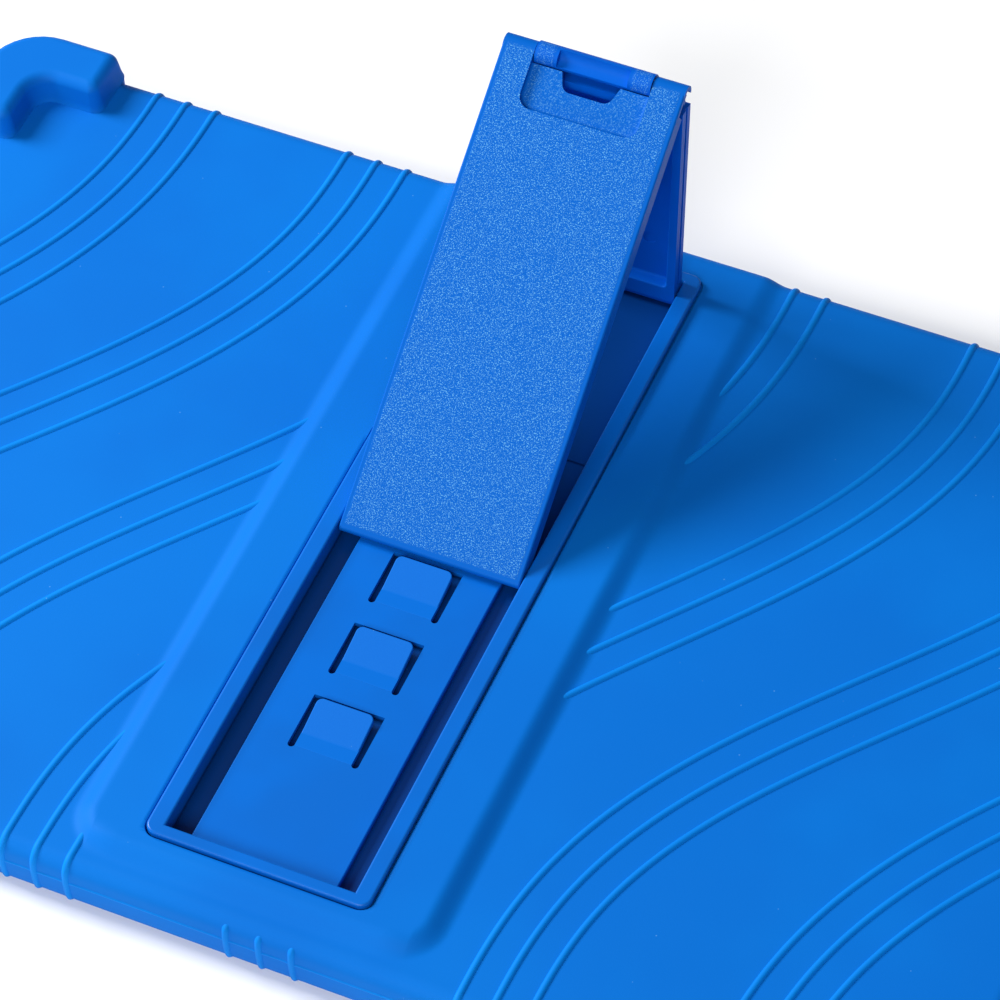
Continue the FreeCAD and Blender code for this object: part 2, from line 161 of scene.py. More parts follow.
def soften(corners, radii, steps=8):
    """A right-angled outline with each corner turned into an arc."""
    points = []
    for k, corner in enumerate(corners):
        back = (corners[k - 1] - corner).normalized()
        ahead = (corners[(k + 1) % len(corners)] - corner).normalized()
        for step in range(steps + 1):
            turn = math.pi / 2 * step / steps
            away = back + ahead - math.cos(turn) * ahead - math.sin(turn) * back
            points.append(corner + radii[k] * away)
    return points


def rounded_rectangle(half_u, half_v, radius, centre=(0.0, 0.0), steps=8):
    u, v = centre
    corners = [Vector((u + a * half_u, v + b * half_v)) for a, b in ((-1, -1), (1, -1), (1, 1), (-1, 1))]
    return soften(corners, [radius] * 4, steps)


def stack(name, rings):
    """Closed solid through rings of points, one above the other."""
    mesh = bmesh.new()
    rows = [[mesh.verts.new(p) for p in ring] for ring in rings]
    for low, high in zip(rows, rows[1:]):
        for k in range(len(low)):
            nxt = (k + 1) % len(low)
            mesh.faces.new((low[k], low[nxt], high[nxt], high[k]))
    mesh.faces.new(rows[0][::-1])
    mesh.faces.new(rows[-1])
    bmesh.ops.recalc_face_normals(mesh, faces=mesh.faces)
    return to_object(name, mesh)


def to_object(name, mesh):
    data = bpy.data.meshes.new(name)
    mesh.to_mesh(data)
    mesh.free()
    made = bpy.data.objects.new(name, data)
    bpy.context.scene.collection.objects.link(made)
    return made


def settled(name, source):
    """The evaluated shape of an object with modifiers, as a plain mesh object."""
    bpy.context.view_layer.update()
    graph = bpy.context.evaluated_depsgraph_get()
    data = bpy.data.meshes.new_from_object(source.evaluated_get(graph))
    bpy.data.objects.remove(source)
    data.name = name
    made = bpy.data.objects.new(name, data)
    bpy.context.scene.collection.objects.link(made)
    return made


def shade(made, angle=35.0):
    made.data.polygons.foreach_set("use_smooth", [True] * len(made.data.polygons))
    made.data.set_sharp_from_angle(angle=math.radians(angle))
    even = made.modifiers.new("even shading", "WEIGHTED_NORMAL")
    even.keep_sharp = True
    return settled(made.name, made)


def carve(body, tools, operation):
    for tool in tools:
        cut = body.modifiers.new(operation.lower(), "BOOLEAN")
        cut.operation = operation
        cut.solver = "MANIFOLD"
        cut.object = tool
    name = body.name
    made = settled(name, body)
    for tool in tools:
        bpy.data.objects.remove(tool)
    return made


# ---- outer skin of the shell -------------------------------------------------
def wall_profile():
    """(outwards from the flat back's edge, height) down the side, from the back to the lip."""
    bulge = math.radians(WALL_BULGE_DEG)
    top = math.pi / 2 - bulge
    drop = (BACK_ROUND + LIP_ROUND) * (1 - math.cos(top))
    wall_radius = (back_z - drop) / (2 * math.sin(bulge))
    points = []
    for k in range(8):
        lean = top * k / 7
        points.append((BACK_ROUND * math.sin(lean), back_z - BACK_ROUND * (1 - math.cos(lean))))
    out, z = points[-1]
    for k in range(1, 9):
        lean = bulge * (1 - k / 4)
        points.append((out + wall_radius * (math.cos(lean) - math.cos(bulge)),
                       z - wall_radius * (math.sin(bulge) - math.sin(lean))))
    out, z = points[-1]
    for k in range(1, 7):
        lean = top * (1 - k / 6)
        points.append((out - LIP_ROUND * (math.sin(top) - math.sin(lean)), LIP_ROUND * (1 - math.cos(lean))))
    return points


PROFILE = wall_profile()


def band_rise(x, y):
    """How far the raised band lifts the back: a soft-edged strip that runs out at the far edge."""
    top_y = -half_width + BAND_TOP_NEAR
    past_x = abs(x) - BAND_TOP_X + BAND_CORNER
    past_y = top_y - y + BAND_CORNER
    outside = math.hypot(max(past_x, 0.0), max(past_y, 0.0)) - BAND_CORNER
    slope = BAND_FOOT_X - BAND_TOP_X
    level = BAND_SKIN_RISE - (BAND_SKIN_RISE - BAND_RISE) * smooth_step(0.0, flat_y, y)
    return level * (1.0 - smooth_step(0.0, slope, outside))


def lines(limit, corner, zones, coarse, fine):
    """Grid lines from -limit to limit, fine in the corners and in the given zones."""
    found = [-limit]
    while found[-1] < limit - 1e-6:
        here = found[-1] + 1e-6
        close = abs(here) > limit - corner or any(a <= here < b for a, b in zones)
        stops = [limit] + [edge for zone in zones for edge in zone] + [corner - limit, limit - corner]
        ahead = min(stop for stop in stops if stop > here + 1e-6)
        count = max(1, round((ahead - found[-1]) / (fine if close else coarse)))
        start = found[-1]
        found += [start + (ahead - start) * k / count for k in range(1, count + 1)]
    return found


def bend_corner(x, y):
    """Moves a point of the square grid into the rounded corner."""
    in_x = flat_x - flat_corner
    in_y = flat_y - flat_corner
    u = (abs(x) - in_x) / flat_corner
    v = (abs(y) - in_y) / flat_corner
    if u <= 0 or v <= 0:
        return x, y
    new_u = u * math.sqrt(1 - v * v / 2)
    new_v = v * math.sqrt(1 - u * u / 2)
    return math.copysign(in_x + new_u * flat_corner, x), math.copysign(in_y + new_v * flat_corner, y)


def outward(x, y):
    in_x = flat_x - flat_corner
    in_y = flat_y - flat_corner
    if abs(x) > in_x + 1e-7 and abs(y) > in_y + 1e-7:
        away = Vector((abs(x) - in_x, abs(y) - in_y)).normalized()
        return math.copysign(away.x, x), math.copysign(away.y, y)
    if abs(x) > flat_x - 1e-7:
        return math.copysign(1.0, x), 0.0
    return 0.0, math.copysign(1.0, y)


def outer_skin():
    slopes = [(-BAND_FOOT_X - MM, -BAND_TOP_X + MM), (BAND_TOP_X - MM, BAND_FOOT_X + MM)]
    near = [(-half_width + BAND_FOOT_NEAR - MM, -half_width + BAND_TOP_NEAR + BAND_CORNER)]
    xs = lines(flat_x, flat_corner, slopes, 2.5 * MM, 0.5 * MM)
    ys = lines(flat_y, flat_corner, near, 2.5 * MM, 0.5 * MM)
    mesh = bmesh.new()
    grid = []
    for y in ys:
        row = []
        for x in xs:
            px, py = bend_corner(x, y)
            row.append(mesh.verts.new((px, py, back_z + band_rise(px, py))))
        grid.append(row)
    for low, high in zip(grid, grid[1:]):
        for k in range(len(low) - 1):
            mesh.faces.new((low[k], low[k + 1], high[k + 1], high[k]))
    loop = grid[0][:-1] + [row[-1] for row in grid[:-1]] + grid[-1][:0:-1] + [row[0] for row in grid[:0:-1]]
    above = loop
    wall_top = PROFILE[7][1]
    for out, z in PROFILE[1:]:
        ring = []
        lifted = min(1.0, z / wall_top)
        for vert in loop:
            nx, ny = outward(vert.co.x, vert.co.y)
            lift = (vert.co.z - back_z) * lifted
            ring.append(mesh.verts.new((vert.co.x + nx * out, vert.co.y + ny * out, z + lift)))
        for k in range(len(loop)):
            nxt = (k + 1) % len(loop)
            mesh.faces.new((above[nxt], above[k], ring[k], ring[nxt]))
        above = ring
    mesh.faces.new(above[::-1])
    bmesh.ops.recalc_face_normals(mesh, faces=mesh.faces)
    return to_object("silicone_skin", mesh)


def bumper(sign_x, sign_y):
    """L-shaped pad round one corner, with drafted sides and a soft top."""
    def level(z, outer, inner, ends):
        out_x = half_length + BUMPER_PROUD - outer
        out_y = half_width + BUMPER_PROUD - outer
        end_x = half_length - BUMPER_LEG_X + ends
        end_y = half_width - BUMPER_LEG_Y + ends
        in_x = half_length + BUMPER_PROUD - BUMPER_WIDTH_X + inner
        in_y = half_width + BUMPER_PROUD - BUMPER_WIDTH_Y + inner
        corners = [(out_x, out_y), (end_x, out_y), (end_x, in_y), (in_x, in_y), (in_x, end_y), (out_x, end_y)]
        end_round = BUMPER_END_ROUND - 0.5 * min(ends, BUMPER_END_ROUND)
        outer_round = BUMPER_CORNER - outer
        inner_round = BUMPER_INNER_ROUND + inner
        radii = [outer_round, end_round, end_round, inner_round, end_round, end_round]
        return [(sign_x * p.x, sign_y * p.y, z) for p in soften([Vector(c) for c in corners], radii, 9)]

    rings = []
    for k in range(5):
        turn = math.pi / 2 * k / 4
        foot = BUMPER_PROUD * (1 - math.sin(turn))
        rings.append(level(BUMPER_FOOT_Z + BUMPER_PROUD * (1 - math.cos(turn)), foot, 0.0, foot))
    rings.append(level(back_z - 0.4 * MM, 0.0, -BUMPER_FLARE, -0.3 * BUMPER_FLARE))
    for rise, flare in ((0.05, 1.0), (0.35, 0.55), (0.8, 0.2), (1.4, 0.0)):
        drawn = rise * MM / BUMPER_RISE
        flared = flare * BUMPER_FLARE
        rings.append(level(back_z + rise * MM, drawn * OUTER_DRAFT, drawn * INNER_DRAFT - flared,
                           drawn * END_DRAFT - flared))
    for k in range(9):
        turn = math.pi / 2 * k / 8
        rise = BUMPER_RISE - BUMPER_TOP_ROUND * (1 - math.sin(turn))
        drawn = rise / BUMPER_RISE
        rolled = BUMPER_TOP_ROUND * (1 - math.cos(turn))
        rings.append(level(back_z + rise, drawn * OUTER_DRAFT + rolled, drawn * INNER_DRAFT + rolled,
                           drawn * END_DRAFT + rolled))
    return stack("bumper", rings)


# ---- cutters for the shell's hollows -----------------------------------------
def tablet_pocket():
    levels = [(0.55, -1.0), (0.55, 0.0), (0.27, 0.08), (0.08, 0.27), (0.0, 0.55), (0.0, 0.95), (0.12, 1.2),
              (2.2, 1.2), (2.42, 1.3), (2.5, 1.55), (2.5, 7.7), (2.3, 8.2), (1.8, 8.4)]
    screen_x = pocket_x - LIP_OVERHANG
    screen_y = pocket_y - LIP_OVERHANG
    corner = TABLET_CORNER - LIP_OVERHANG
    rings = []
    for grow, z in levels:
        outline = rounded_rectangle(screen_x + grow * MM, screen_y + grow * MM, corner + grow * MM)
        rings.append([(p.x, p.y, z * MM) for p in outline])
    return stack("pocket", rings)


def upright_cutter(name, low, high, radius, levels):
    """Levels are (how far the outline grows, height)."""
    centre = ((low[0] + high[0]) / 2, (low[1] + high[1]) / 2)
    half = ((high[0] - low[0]) / 2, (high[1] - low[1]) / 2)
    rings = []
    for grow, z in levels:
        outline = rounded_rectangle(half[0] + grow, half[1] + grow, radius + grow, centre)
        rings.append([(p.x, p.y, z) for p in outline])
    return stack(name, rings)


def flare_levels(inner, surface, size):
    """Straight up to just under the surface, then opening in a quarter round."""
    levels = [(0.0, inner)]
    for k in range(6):
        turn = math.pi / 2 * k / 5
        levels.append((size * (1 - math.cos(turn)), surface - size + size * math.sin(turn)))
    return levels + [(size, surface + 3 * MM)]


def side_cutter(name, wall, along, size, radius, flare=OPENING_FLARE, height=4.7 * MM):
    """Opening through a side wall: wall is (x, y), the way it faces."""
    reach = (half_length if wall[0] else half_width) + 0.2 * MM
    rings = []
    for grow, out in flare_levels(reach - SIDE_WALL - MM, reach, flare):
        outline = rounded_rectangle(size[0] / 2 + grow, size[1] / 2 + grow, radius + grow, (along, height), 6)
        if wall[0]:
            rings.append([(wall[0] * out, p.x, p.y) for p in outline])
        else:
            rings.append([(p.x, wall[1] * out, p.y) for p in outline])
    return stack(name, rings)


def round_end(size):
    """Corner radius of a slot with round ends, a hair short of half its height."""
    return size[1] / 2 - 0.01 * MM


def button_cutter(node):
    low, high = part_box(node)
    size = (high.x - low.x + 2 * BUTTON_GAP, high.z - low.z + 2 * BUTTON_GAP)
    return side_cutter(node + "_hole", (0, -1), (low.x + high.x) / 2, size, 0.6 * size[1] / 2, 0.35 * MM,
                       (low.z + high.z) / 2)


def middle(box, axis):
    return (box[0][axis] + box[1][axis]) / 2


def shell_cutters():
    camera_x = middle(openings["camera_opening"], 0)
    camera_y = middle(openings["camera_opening"], 1)
    usb_y = middle(openings["usb_opening"], 1)
    jack_y = middle(openings["headphone_opening"], 1)
    window_x = tray_high.x - TRAY_RIM_X
    window_near = tray_low.y + TRAY_RIM_NEAR
    window_far = tray_high.y - TRAY_RIM_FAR
    skin_z = back_z + BAND_SKIN_RISE
    rim_levels = [(GROOVE_GAP, band_z - GROOVE_DEPTH), (GROOVE_GAP, skin_z - 0.25 * MM),
                  (GROOVE_GAP + 0.06 * MM, skin_z - 0.1 * MM), (GROOVE_GAP + 0.25 * MM, skin_z + 0.02 * MM),
                  (GROOVE_GAP + 0.25 * MM, band_z + 3 * MM)]
    cutters = [
        tablet_pocket(),
        upright_cutter("window", (-window_x, window_near), (window_x, window_far), 0.3 * MM,
                       [(WINDOW_GAP, ceiling_z - MM), (WINDOW_GAP, band_z + MM)]),
        upright_cutter("recess", retainer_low, retainer_high, RETAINER_CORNER,
                       [(WINDOW_GAP, ceiling_z - MM), (WINDOW_GAP, retainer_high.z)]),
        upright_cutter("groove", tray_low, tray_high, RIM_CORNER, rim_levels),
        upright_cutter("camera", (camera_x - CAMERA_HALF, camera_y - CAMERA_HALF),
                       (camera_x + CAMERA_HALF, camera_y + CAMERA_HALF), CAMERA_CORNER,
                       flare_levels(ceiling_z - MM, back_z, OPENING_FLARE)),
        side_cutter("usb", (1, 0), usb_y, USB_SIZE, round_end(USB_SIZE)),
        side_cutter("jack", (-1, 0), jack_y, JACK_SIZE, round_end(JACK_SIZE)),
        button_cutter("power_button"),
        button_cutter("volume_button"),
    ]
    for side in (-1, 1):
        for y in (-SPEAKER_Y, SPEAKER_Y):
            slot = side_cutter("speaker", (side, 0), y, SPEAKER_SIZE, round_end(SPEAKER_SIZE), SPEAKER_FLARE)
            cutters.append(slot)
    return cutters


def silicone_skin():
    body = outer_skin()
    body = carve(body, [bumper(a, b) for a in (-1, 1) for b in (-1, 1)], "UNION")
    body = carve(body, shell_cutters(), "DIFFERENCE")
    return shade(body)


# ---- swept lines on the skin -------------------------------------------------
def sweep_tree():
    """Geometry nodes: a round bead along every path of a curve object."""
    tree = bpy.data.node_groups.new("bead along paths", "GeometryNodeTree")
    face = tree.interface
    face.new_socket("Paths", in_out="INPUT", socket_type="NodeSocketGeometry")
    face.new_socket("Bead radius", in_out="INPUT", socket_type="NodeSocketFloat")
    face.new_socket("Sides", in_out="INPUT", socket_type="NodeSocketInt")
    face.new_socket("Finish", in_out="INPUT", socket_type="NodeSocketMaterial")
    face.new_socket("Bead", in_out="OUTPUT", socket_type="NodeSocketGeometry")
    given = tree.nodes.new("NodeGroupInput")
    ring = tree.nodes.new("GeometryNodeCurvePrimitiveCircle")
    sweep = tree.nodes.new("GeometryNodeCurveToMesh")
    smooth = tree.nodes.new("GeometryNodeSetShadeSmooth")
    real = tree.nodes.new("GeometryNodeRealizeInstances")
    paint = tree.nodes.new("GeometryNodeSetMaterial")
    result = tree.nodes.new("NodeGroupOutput")
    sweep.inputs["Fill Caps"].default_value = True
    wires = [(given.outputs["Bead radius"], ring.inputs["Radius"]),
             (given.outputs["Sides"], ring.inputs["Resolution"]),
             (given.outputs["Paths"], sweep.inputs["Curve"]),
             (ring.outputs["Curve"], sweep.inputs["Profile Curve"]),
             (sweep.outputs["Mesh"], smooth.inputs["Geometry"]),
             (smooth.outputs["Geometry"], real.inputs["Geometry"]),
             (real.outputs["Geometry"], paint.inputs["Geometry"]),
             (given.outputs["Finish"], paint.inputs["Material"]),
             (paint.outputs["Geometry"], result.inputs["Bead"])]
    for start, end in wires:
        tree.links.new(start, end)
    return tree


def bead_size(width, height):
    """Radius of a round bead, and how deep its middle lies, for the width and height that show."""
    radius = ((width / 2) ** 2 + height ** 2) / (2 * height)
    return radius, radius - height


def swept(name, paths, radius, sides, tree, finish):
    curve = bpy.data.curves.new(name, "CURVE")
    curve.dimensions = "3D"
    for path in paths:
        spline = curve.splines.new("POLY")
        spline.points.add(len(path) - 1)
        for point, place in zip(spline.points, path):
            point.co = (*place, 1.0)
    made = bpy.data.objects.new(name, curve)
    bpy.context.scene.collection.objects.link(made)
    nodes = made.modifiers.new("beads", "NODES")
    nodes.node_group = tree
    sizes = {"Bead radius": radius, "Sides": sides, "Finish": finish}
    for item in tree.interface.items_tree:
        if item.name in sizes:
            nodes[item.identifier] = sizes[item.name]
    return outside_out(settled(name, made))


def outside_out(made):
    mesh = bmesh.new()
    mesh.from_mesh(made.data)
    bmesh.ops.recalc_face_normals(mesh, faces=mesh.faces)
    mesh.to_mesh(made.data)
    mesh.free()
    return made


def profile_at(length):
    """(outwards, height, normal out, normal up) at a length down the side from the flat's edge."""
    gone = 0.0
    for (out_a, z_a), (out_b, z_b) in zip(PROFILE, PROFILE[1:]):
        step = math.hypot(out_b - out_a, z_b - z_a)
        if gone + step >= length:
            t = (length - gone) / step
            out = out_a + t * (out_b - out_a)
            z = z_a + t * (z_b - z_a)
            return out, z, (z_a - z_b) / step, (out_b - out_a) / step
        gone += step
    raise ValueError("the side is shorter than that")


ROUND_LENGTH = BACK_ROUND * (math.pi / 2 - math.radians(WALL_BULGE_DEG))
WALL_TURN_LENGTH = 11.2 * MM
SHORT_TURN_LENGTH = 3.2 * MM
# A rib that ends this close to an edge goes over it, at no more than the steepest slant.
EDGE_REACH = 2.5 * MM
STEEPEST = 0.8
CLOSEST = 0.3 * MM


def wave(group, offset, y):
    """Plan point of one rib: half a wave from edge to edge, moved sideways by the offset."""
    far_x, near_x = WAVES[group]
    early = WAVE_EARLY if group >= FIRST_EARLY else 0.0

    def across(place):
        s = (WAVE_FAR_Y - place) / WAVE_SPAN
        s = min(max(s + early * math.sin(math.pi * s), 0.0), 1.0)
        cosine = (1 - math.cos(math.pi * s)) / 2
        steep = s * s * s * (s * (6 * s - 15) + 10)
        return far_x - (far_x - near_x) * (WAVE_STEEP * steep + (1 - WAVE_STEEP) * cosine)

    step = 0.5 * MM
    slope = (across(y + step) - across(y - step)) / (2 * step)
    normal = Vector((1.0, -slope)).normalized()
    return Vector((across(y), y)) + offset * normal


def taken(place, spans, margin=1.6 * MM):
    return any(low - margin < place < high + margin for low, high in spans)


def span(centre, width):
    return centre - width / 2, centre + width / 2


def wall_spans():
    """Stretches of each wall that an opening or a button takes up."""
    usb = span(middle(openings["usb_opening"], 1), USB_SIZE[0])
    jack = span(middle(openings["headphone_opening"], 1), JACK_SIZE[0])
    speakers = [span(y, SPEAKER_SIZE[0]) for y in (-SPEAKER_Y, SPEAKER_Y)]
    buttons = [(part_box(n)[0].x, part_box(n)[1].x) for n in ("power_button", "volume_button")]
    return {"+x": [usb] + speakers, "-x": [jack] + speakers, "-y": buttons, "+y": []}


def over_edge(point, wall, heading, sink, length):
    """The rib's way from the flat over the edge and down the wall, ending turned into it."""
    path = []
    steps = max(4, round(length / (0.6 * MM)))
    for k in range(1, steps + 1):
        gone = length * k / steps
        out, z, n_out, n_up = profile_at(gone)
        drift = heading * min(gone, ROUND_LENGTH)
        path.append(along_wall(point, wall, drift, out - sink * n_out, z - sink * n_up))
    out, z, n_out, n_up = profile_at(length)
    for ahead, deep in ((0.30, 0.12), (0.50, 0.45), (0.55, 1.1)):
        path.append(along_wall(point, wall, heading * min(length, ROUND_LENGTH),
                               out - (sink + deep * MM) * n_out + ahead * MM * n_up,
                               z - (sink + deep * MM) * n_up - ahead * MM * n_out))
    return path


def along_wall(point, wall, drift, out, z):
    if wall[1] == "x":
        sign = 1 if wall[0] == "+" else -1
        return Vector((sign * (flat_x + out), point.y + drift, z))
    sign = 1 if wall[0] == "+" else -1
    return Vector((point.x + drift, sign * (flat_y + out), z))


def inside_bumper(x, y):
    return abs(x) > half_length - BUMPER_LEG_X + MM and abs(y) > half_width - BUMPER_LEG_Y + MM and (
        abs(x) > half_length + BUMPER_PROUD - BUMPER_WIDTH_X + MM
        or abs(y) > half_width + BUMPER_PROUD - BUMPER_WIDTH_Y + MM)


def near_camera(x, y):
    reach = CAMERA_HALF + OPENING_FLARE + 1.8 * MM
    return (abs(x - middle(openings["camera_opening"], 0)) < reach
            and abs(y - middle(openings["camera_opening"], 1)) < reach)


def on_band(x, y):
    return abs(x) < BAND_TOP_X - 1.5 * MM and y > -half_width + BAND_FOOT_NEAR + 2.5 * MM


def rib_paths():
    sink = bead_size(RIB_WIDTH, RIB_HEIGHT)[1]
    spans = wall_spans()
    paths = []
    for group in range(len(WAVES)):
        for number in range(RIBS_IN_GROUP):
            offset = number * RIB_PITCH
            plan = [wave(group, offset, flat_y - 2 * flat_y * k / 110) for k in range(111)]
            runs = []
            run = []
            for p in plan:
                blocked = (abs(p.x) > flat_x or abs(p.y) > flat_y or inside_bumper(p.x, p.y)
                           or near_camera(p.x, p.y) or on_band(p.x, p.y))
                if blocked:
                    if run:
                        runs.append(run)
                    run = []
                else:
                    run.append(p)
            if run:
                runs.append(run)
            for run in runs:
                if len(run) > 3:
                    paths.append(rib_path(run, sink, spans))
    return paths


def limited(slope):
    return max(-STEEPEST, min(STEEPEST, slope))


def run_end(run, at_start, sink, spans):
    """What follows a run on the flat: over an edge, or down into the skin."""
    point, before = (run[0], run[1]) if at_start else (run[-1], run[-2])
    heading = (point - before).normalized()
    base = Vector((point.x, point.y, back_z - sink))
    wall = None
    if abs(point.y) > flat_y - EDGE_REACH:
        wall = "+y" if point.y > 0 else "-y"
        slope = limited(heading.x / max(abs(heading.y), 1e-6))
        along = point.x + slope * (flat_y - abs(point.y))
        point = Vector((along, math.copysign(flat_y, point.y)))
    elif abs(point.x) > flat_x - EDGE_REACH:
        wall = "+x" if point.x > 0 else "-x"
        slope = limited(heading.y / max(abs(heading.x), 1e-6))
        along = point.y + slope * (flat_x - abs(point.x))
        point = Vector((math.copysign(flat_x, point.x), along))
    if wall is None:
        steps = [(0.30, 0.12), (0.50, 0.45), (0.55, 1.1)]
        return [base + Vector((heading.x * a, heading.y * a, -d)) * MM for a, d in steps]
    length = SHORT_TURN_LENGTH if taken(along, spans[wall]) else WALL_TURN_LENGTH
    return [Vector((point.x, point.y, back_z - sink))] + over_edge(point, wall, slope, sink, length)


def rib_path(run, sink, spans):
    start, end = run_end(run, True, sink, spans), run_end(run, False, sink, spans)
    flat = [Vector((p.x, p.y, back_z - sink)) for p in run]
    flat = [p for p in flat if (p - start[0]).length > CLOSEST and (p - end[0]).length > CLOSEST]
    return start[::-1] + flat + end


def near_wall_ribs():
    """Short ribs on the near wall, under the raised band, where the waves come down again."""
    sink = bead_size(RIB_WIDTH, RIB_HEIGHT)[1]
    paths = []
    for number in range(RIBS_IN_GROUP):
        point = Vector((WAVES[4][1] + number * RIB_PITCH, -flat_y))
        full = over_edge(point, "-y", 0.0, sink, WALL_TURN_LENGTH)
        kept = [p for p in full if p.z < back_z - 2.0 * MM]
        first = kept[0]
        start = [first + Vector((0, back, up)) * MM for back, up in ((1.1, 0.45), (0.5, 0.4), (0.15, 0.25))]
        paths.append(start + kept)
    return paths


def parting_paths(rib_x):
    """The mould's parting line round the wall: it stops at openings and dips at the ribs."""
    radius, sink = bead_size(PARTING_WIDTH, PARTING_HEIGHT)
    level = next(k for k in range(len(PROFILE)) if PROFILE[k][1] < PARTING_Z)
    (out_a, z_a), (out_b, z_b) = PROFILE[level - 1], PROFILE[level]
    out = out_a + (out_b - out_a) * (PARTING_Z - z_a) / (z_b - z_a)
    reach = out - sink
    outline = rounded_rectangle(flat_x + reach, flat_y + reach, flat_corner + reach, steps=10)
    spans = wall_spans()
    dense = []
    for a, b in zip(outline, outline[1:] + outline[:1]):
        count = max(1, math.ceil((b - a).length / (0.5 * MM)))
        dense += [a + (b - a) * k / count for k in range(count)]
    runs = [[]]
    for p in dense + dense[:1]:
        wall = None
        if abs(p.y) > flat_y + reach - 1e-6:
            wall, place = ("+y" if p.y > 0 else "-y"), p.x
        elif abs(p.x) > flat_x + reach - 1e-6:
            wall, place = ("+x" if p.x > 0 else "-x"), p.y
        if wall and taken(place, spans[wall], 1.0 * MM):
            if runs[-1]:
                runs.append([])
            continue
        dip = 0.0
        if wall in ("+y", "-y"):
            dip = sum(math.exp(-((p.x - x) / (0.8 * MM)) ** 2) for x in rib_x[wall]) * 0.28 * MM
        runs[-1].append(Vector((p.x, p.y, PARTING_Z - dip)))
    return [run for run in runs if len(run) > 3], radius


# ---- materials ---------------------------------------------------------------
def srgb(red, green, blue):
    def linear(value):
        value = value / 255
        return value / 12.92 if value <= 0.04045 else ((value + 0.055) / 1.055) ** 2.4
    return (linear(red), linear(green), linear(blue), 1.0)


class Amount:
    """A number that varies over a surface. Sums and products on it add Math nodes."""

    def __init__(self, finish, socket):
        self.finish = finish
        self.socket = socket

    def math(self, operation, *others, clamp=False):
        settings = {"operation": operation, "use_clamp": clamp}
        values = {k: v for k, v in enumerate((self,) + others)}
        return Amount(self.finish, self.finish.add("ShaderNodeMath", settings, values).outputs[0])

    def __add__(self, other):
        return self.math("ADD", other)

    def __radd__(self, other):
        return self.math("ADD", other)

    def __sub__(self, other):
        return self.math("SUBTRACT", other)

    def __rsub__(self, other):
        return (self * -1.0).math("ADD", other)

    def __mul__(self, other):
        return self.math("MULTIPLY", other)

    def __rmul__(self, other):
        return self.math("MULTIPLY", other)

    def __truediv__(self, other):
        return self.math("DIVIDE", other)

    def __abs__(self):
        return self.math("ABSOLUTE")

    def step(self, low, high):
        """0 below low and 1 above high, smooth in between; falling where low is above high."""
        start, end = (low, high) if low < high else (high, low)
        values = {"Value": self, "From Min": start, "From Max": end}
        node = self.finish.add("ShaderNodeMapRange", {"interpolation_type": "SMOOTHSTEP"}, values)
        rising = Amount(self.finish, node.outputs[0])
        return rising if low < high else 1.0 - rising


class Finish:
    """A material in the making, with one way to add any node."""

    def __init__(self, name, **fixed):
        self.material = bpy.data.materials.new(name)
        self.material.use_nodes = True
        self.tree = self.material.node_tree
        self.tree.nodes.clear()
        constants = {key.replace("_", " "): value for key, value in fixed.items()}
        self.surface = self.add("ShaderNodeBsdfPrincipled", {}, constants)
        self.add("ShaderNodeOutputMaterial", {}, {"Surface": self.surface.outputs[0]})
        self.place = self.add("ShaderNodeTexCoord").outputs["Object"]

    def add(self, kind, settings=None, values=None):
        node = self.tree.nodes.new(kind)
        for key, value in (settings or {}).items():
            setattr(node, key, value)
        for key, value in (values or {}).items():
            socket = node.inputs[key]
            if isinstance(value, Amount):
                self.tree.links.new(value.socket, socket)
            elif isinstance(value, bpy.types.NodeSocket):
                self.tree.links.new(value, socket)
            else:
                socket.default_value = value
        return node

    def set(self, **values):
        for key, value in values.items():
            socket = self.surface.inputs[key.replace("_", " ")]
            self.tree.links.new(value.socket if isinstance(value, Amount) else value, socket)

    def noise(self, grain, detail=2.0, roughness=0.5, place=None):
        """Noise with features about as large as grain, from 0 to 1."""
        values = {"Vector": place or self.place, "Scale": 1.0 / grain,
                  "Detail": detail, "Roughness": roughness}
        return Amount(self, self.add("ShaderNodeTexNoise", {}, values).outputs["Fac"])

    def split(self, place=None):
        node = self.add("ShaderNodeSeparateXYZ", {}, {"Vector": place or self.place})
        return [Amount(self, socket) for socket in node.outputs]

    def mix(self, share, first, second):
        node = self.add("ShaderNodeMix", {"data_type": "RGBA"}, {0: share, 6: first, 7: second})
        return node.outputs[2]

    def bump(self, height, distance, below=None):
        values = {"Height": height, "Distance": distance, "Strength": 1.0}
        if below is not None:
            values["Normal"] = below
        return self.add("ShaderNodeBump", {}, values).outputs["Normal"]

    def turned(self, rotation, centre):
        """Coordinates in a frame that is turned about a centre."""
        matrix = Euler(rotation).to_matrix()
        values = {"Vector": self.place, "Rotation": rotation, "Location": -(matrix @ Vector(centre))}
        return self.add("ShaderNodeMapping", {"vector_type": "POINT"}, values).outputs[0]


def dust(finish, spread, size):
    """Sparse pale specks: a share of the scattered points, as small dots."""
    values = {"Vector": finish.place, "Scale": 1.0 / spread}
    node = finish.add("ShaderNodeTexVoronoi", {"feature": "F1"}, values)
    near = Amount(finish, node.outputs["Distance"]).step(size / spread, size / spread * 0.4)
    parts = finish.add("ShaderNodeSeparateColor", {}, {"Color": node.outputs["Color"]})
    lot = Amount(finish, parts.outputs[0])
    return near * lot.step(0.62, 0.66)


SILICONE = srgb(3, 112, 207)
SILICONE_DEEP = srgb(3, 106, 201)
# Ribs and parting line: the silicone made lighter, as painted highlight where light catches the raised beads.
RIB_HIGHLIGHT = srgb(4, 128, 222)
RIB_HIGHLIGHT_DEEP = srgb(3, 121, 215)
TRAY = srgb(3, 104, 203)
# Much darker blue for the tray below its plate level: painted shade in the channels.
TRAY_PAINTED_SHADE = srgb(1, 56, 124)
STRUT = srgb(2, 94, 204)
PANEL = srgb(2, 95, 192)
# Pale blue for the glinting peaks of the grain: painted highlight.
PAINTED_GLINT = srgb(118, 194, 236)
DUST = srgb(110, 176, 232)


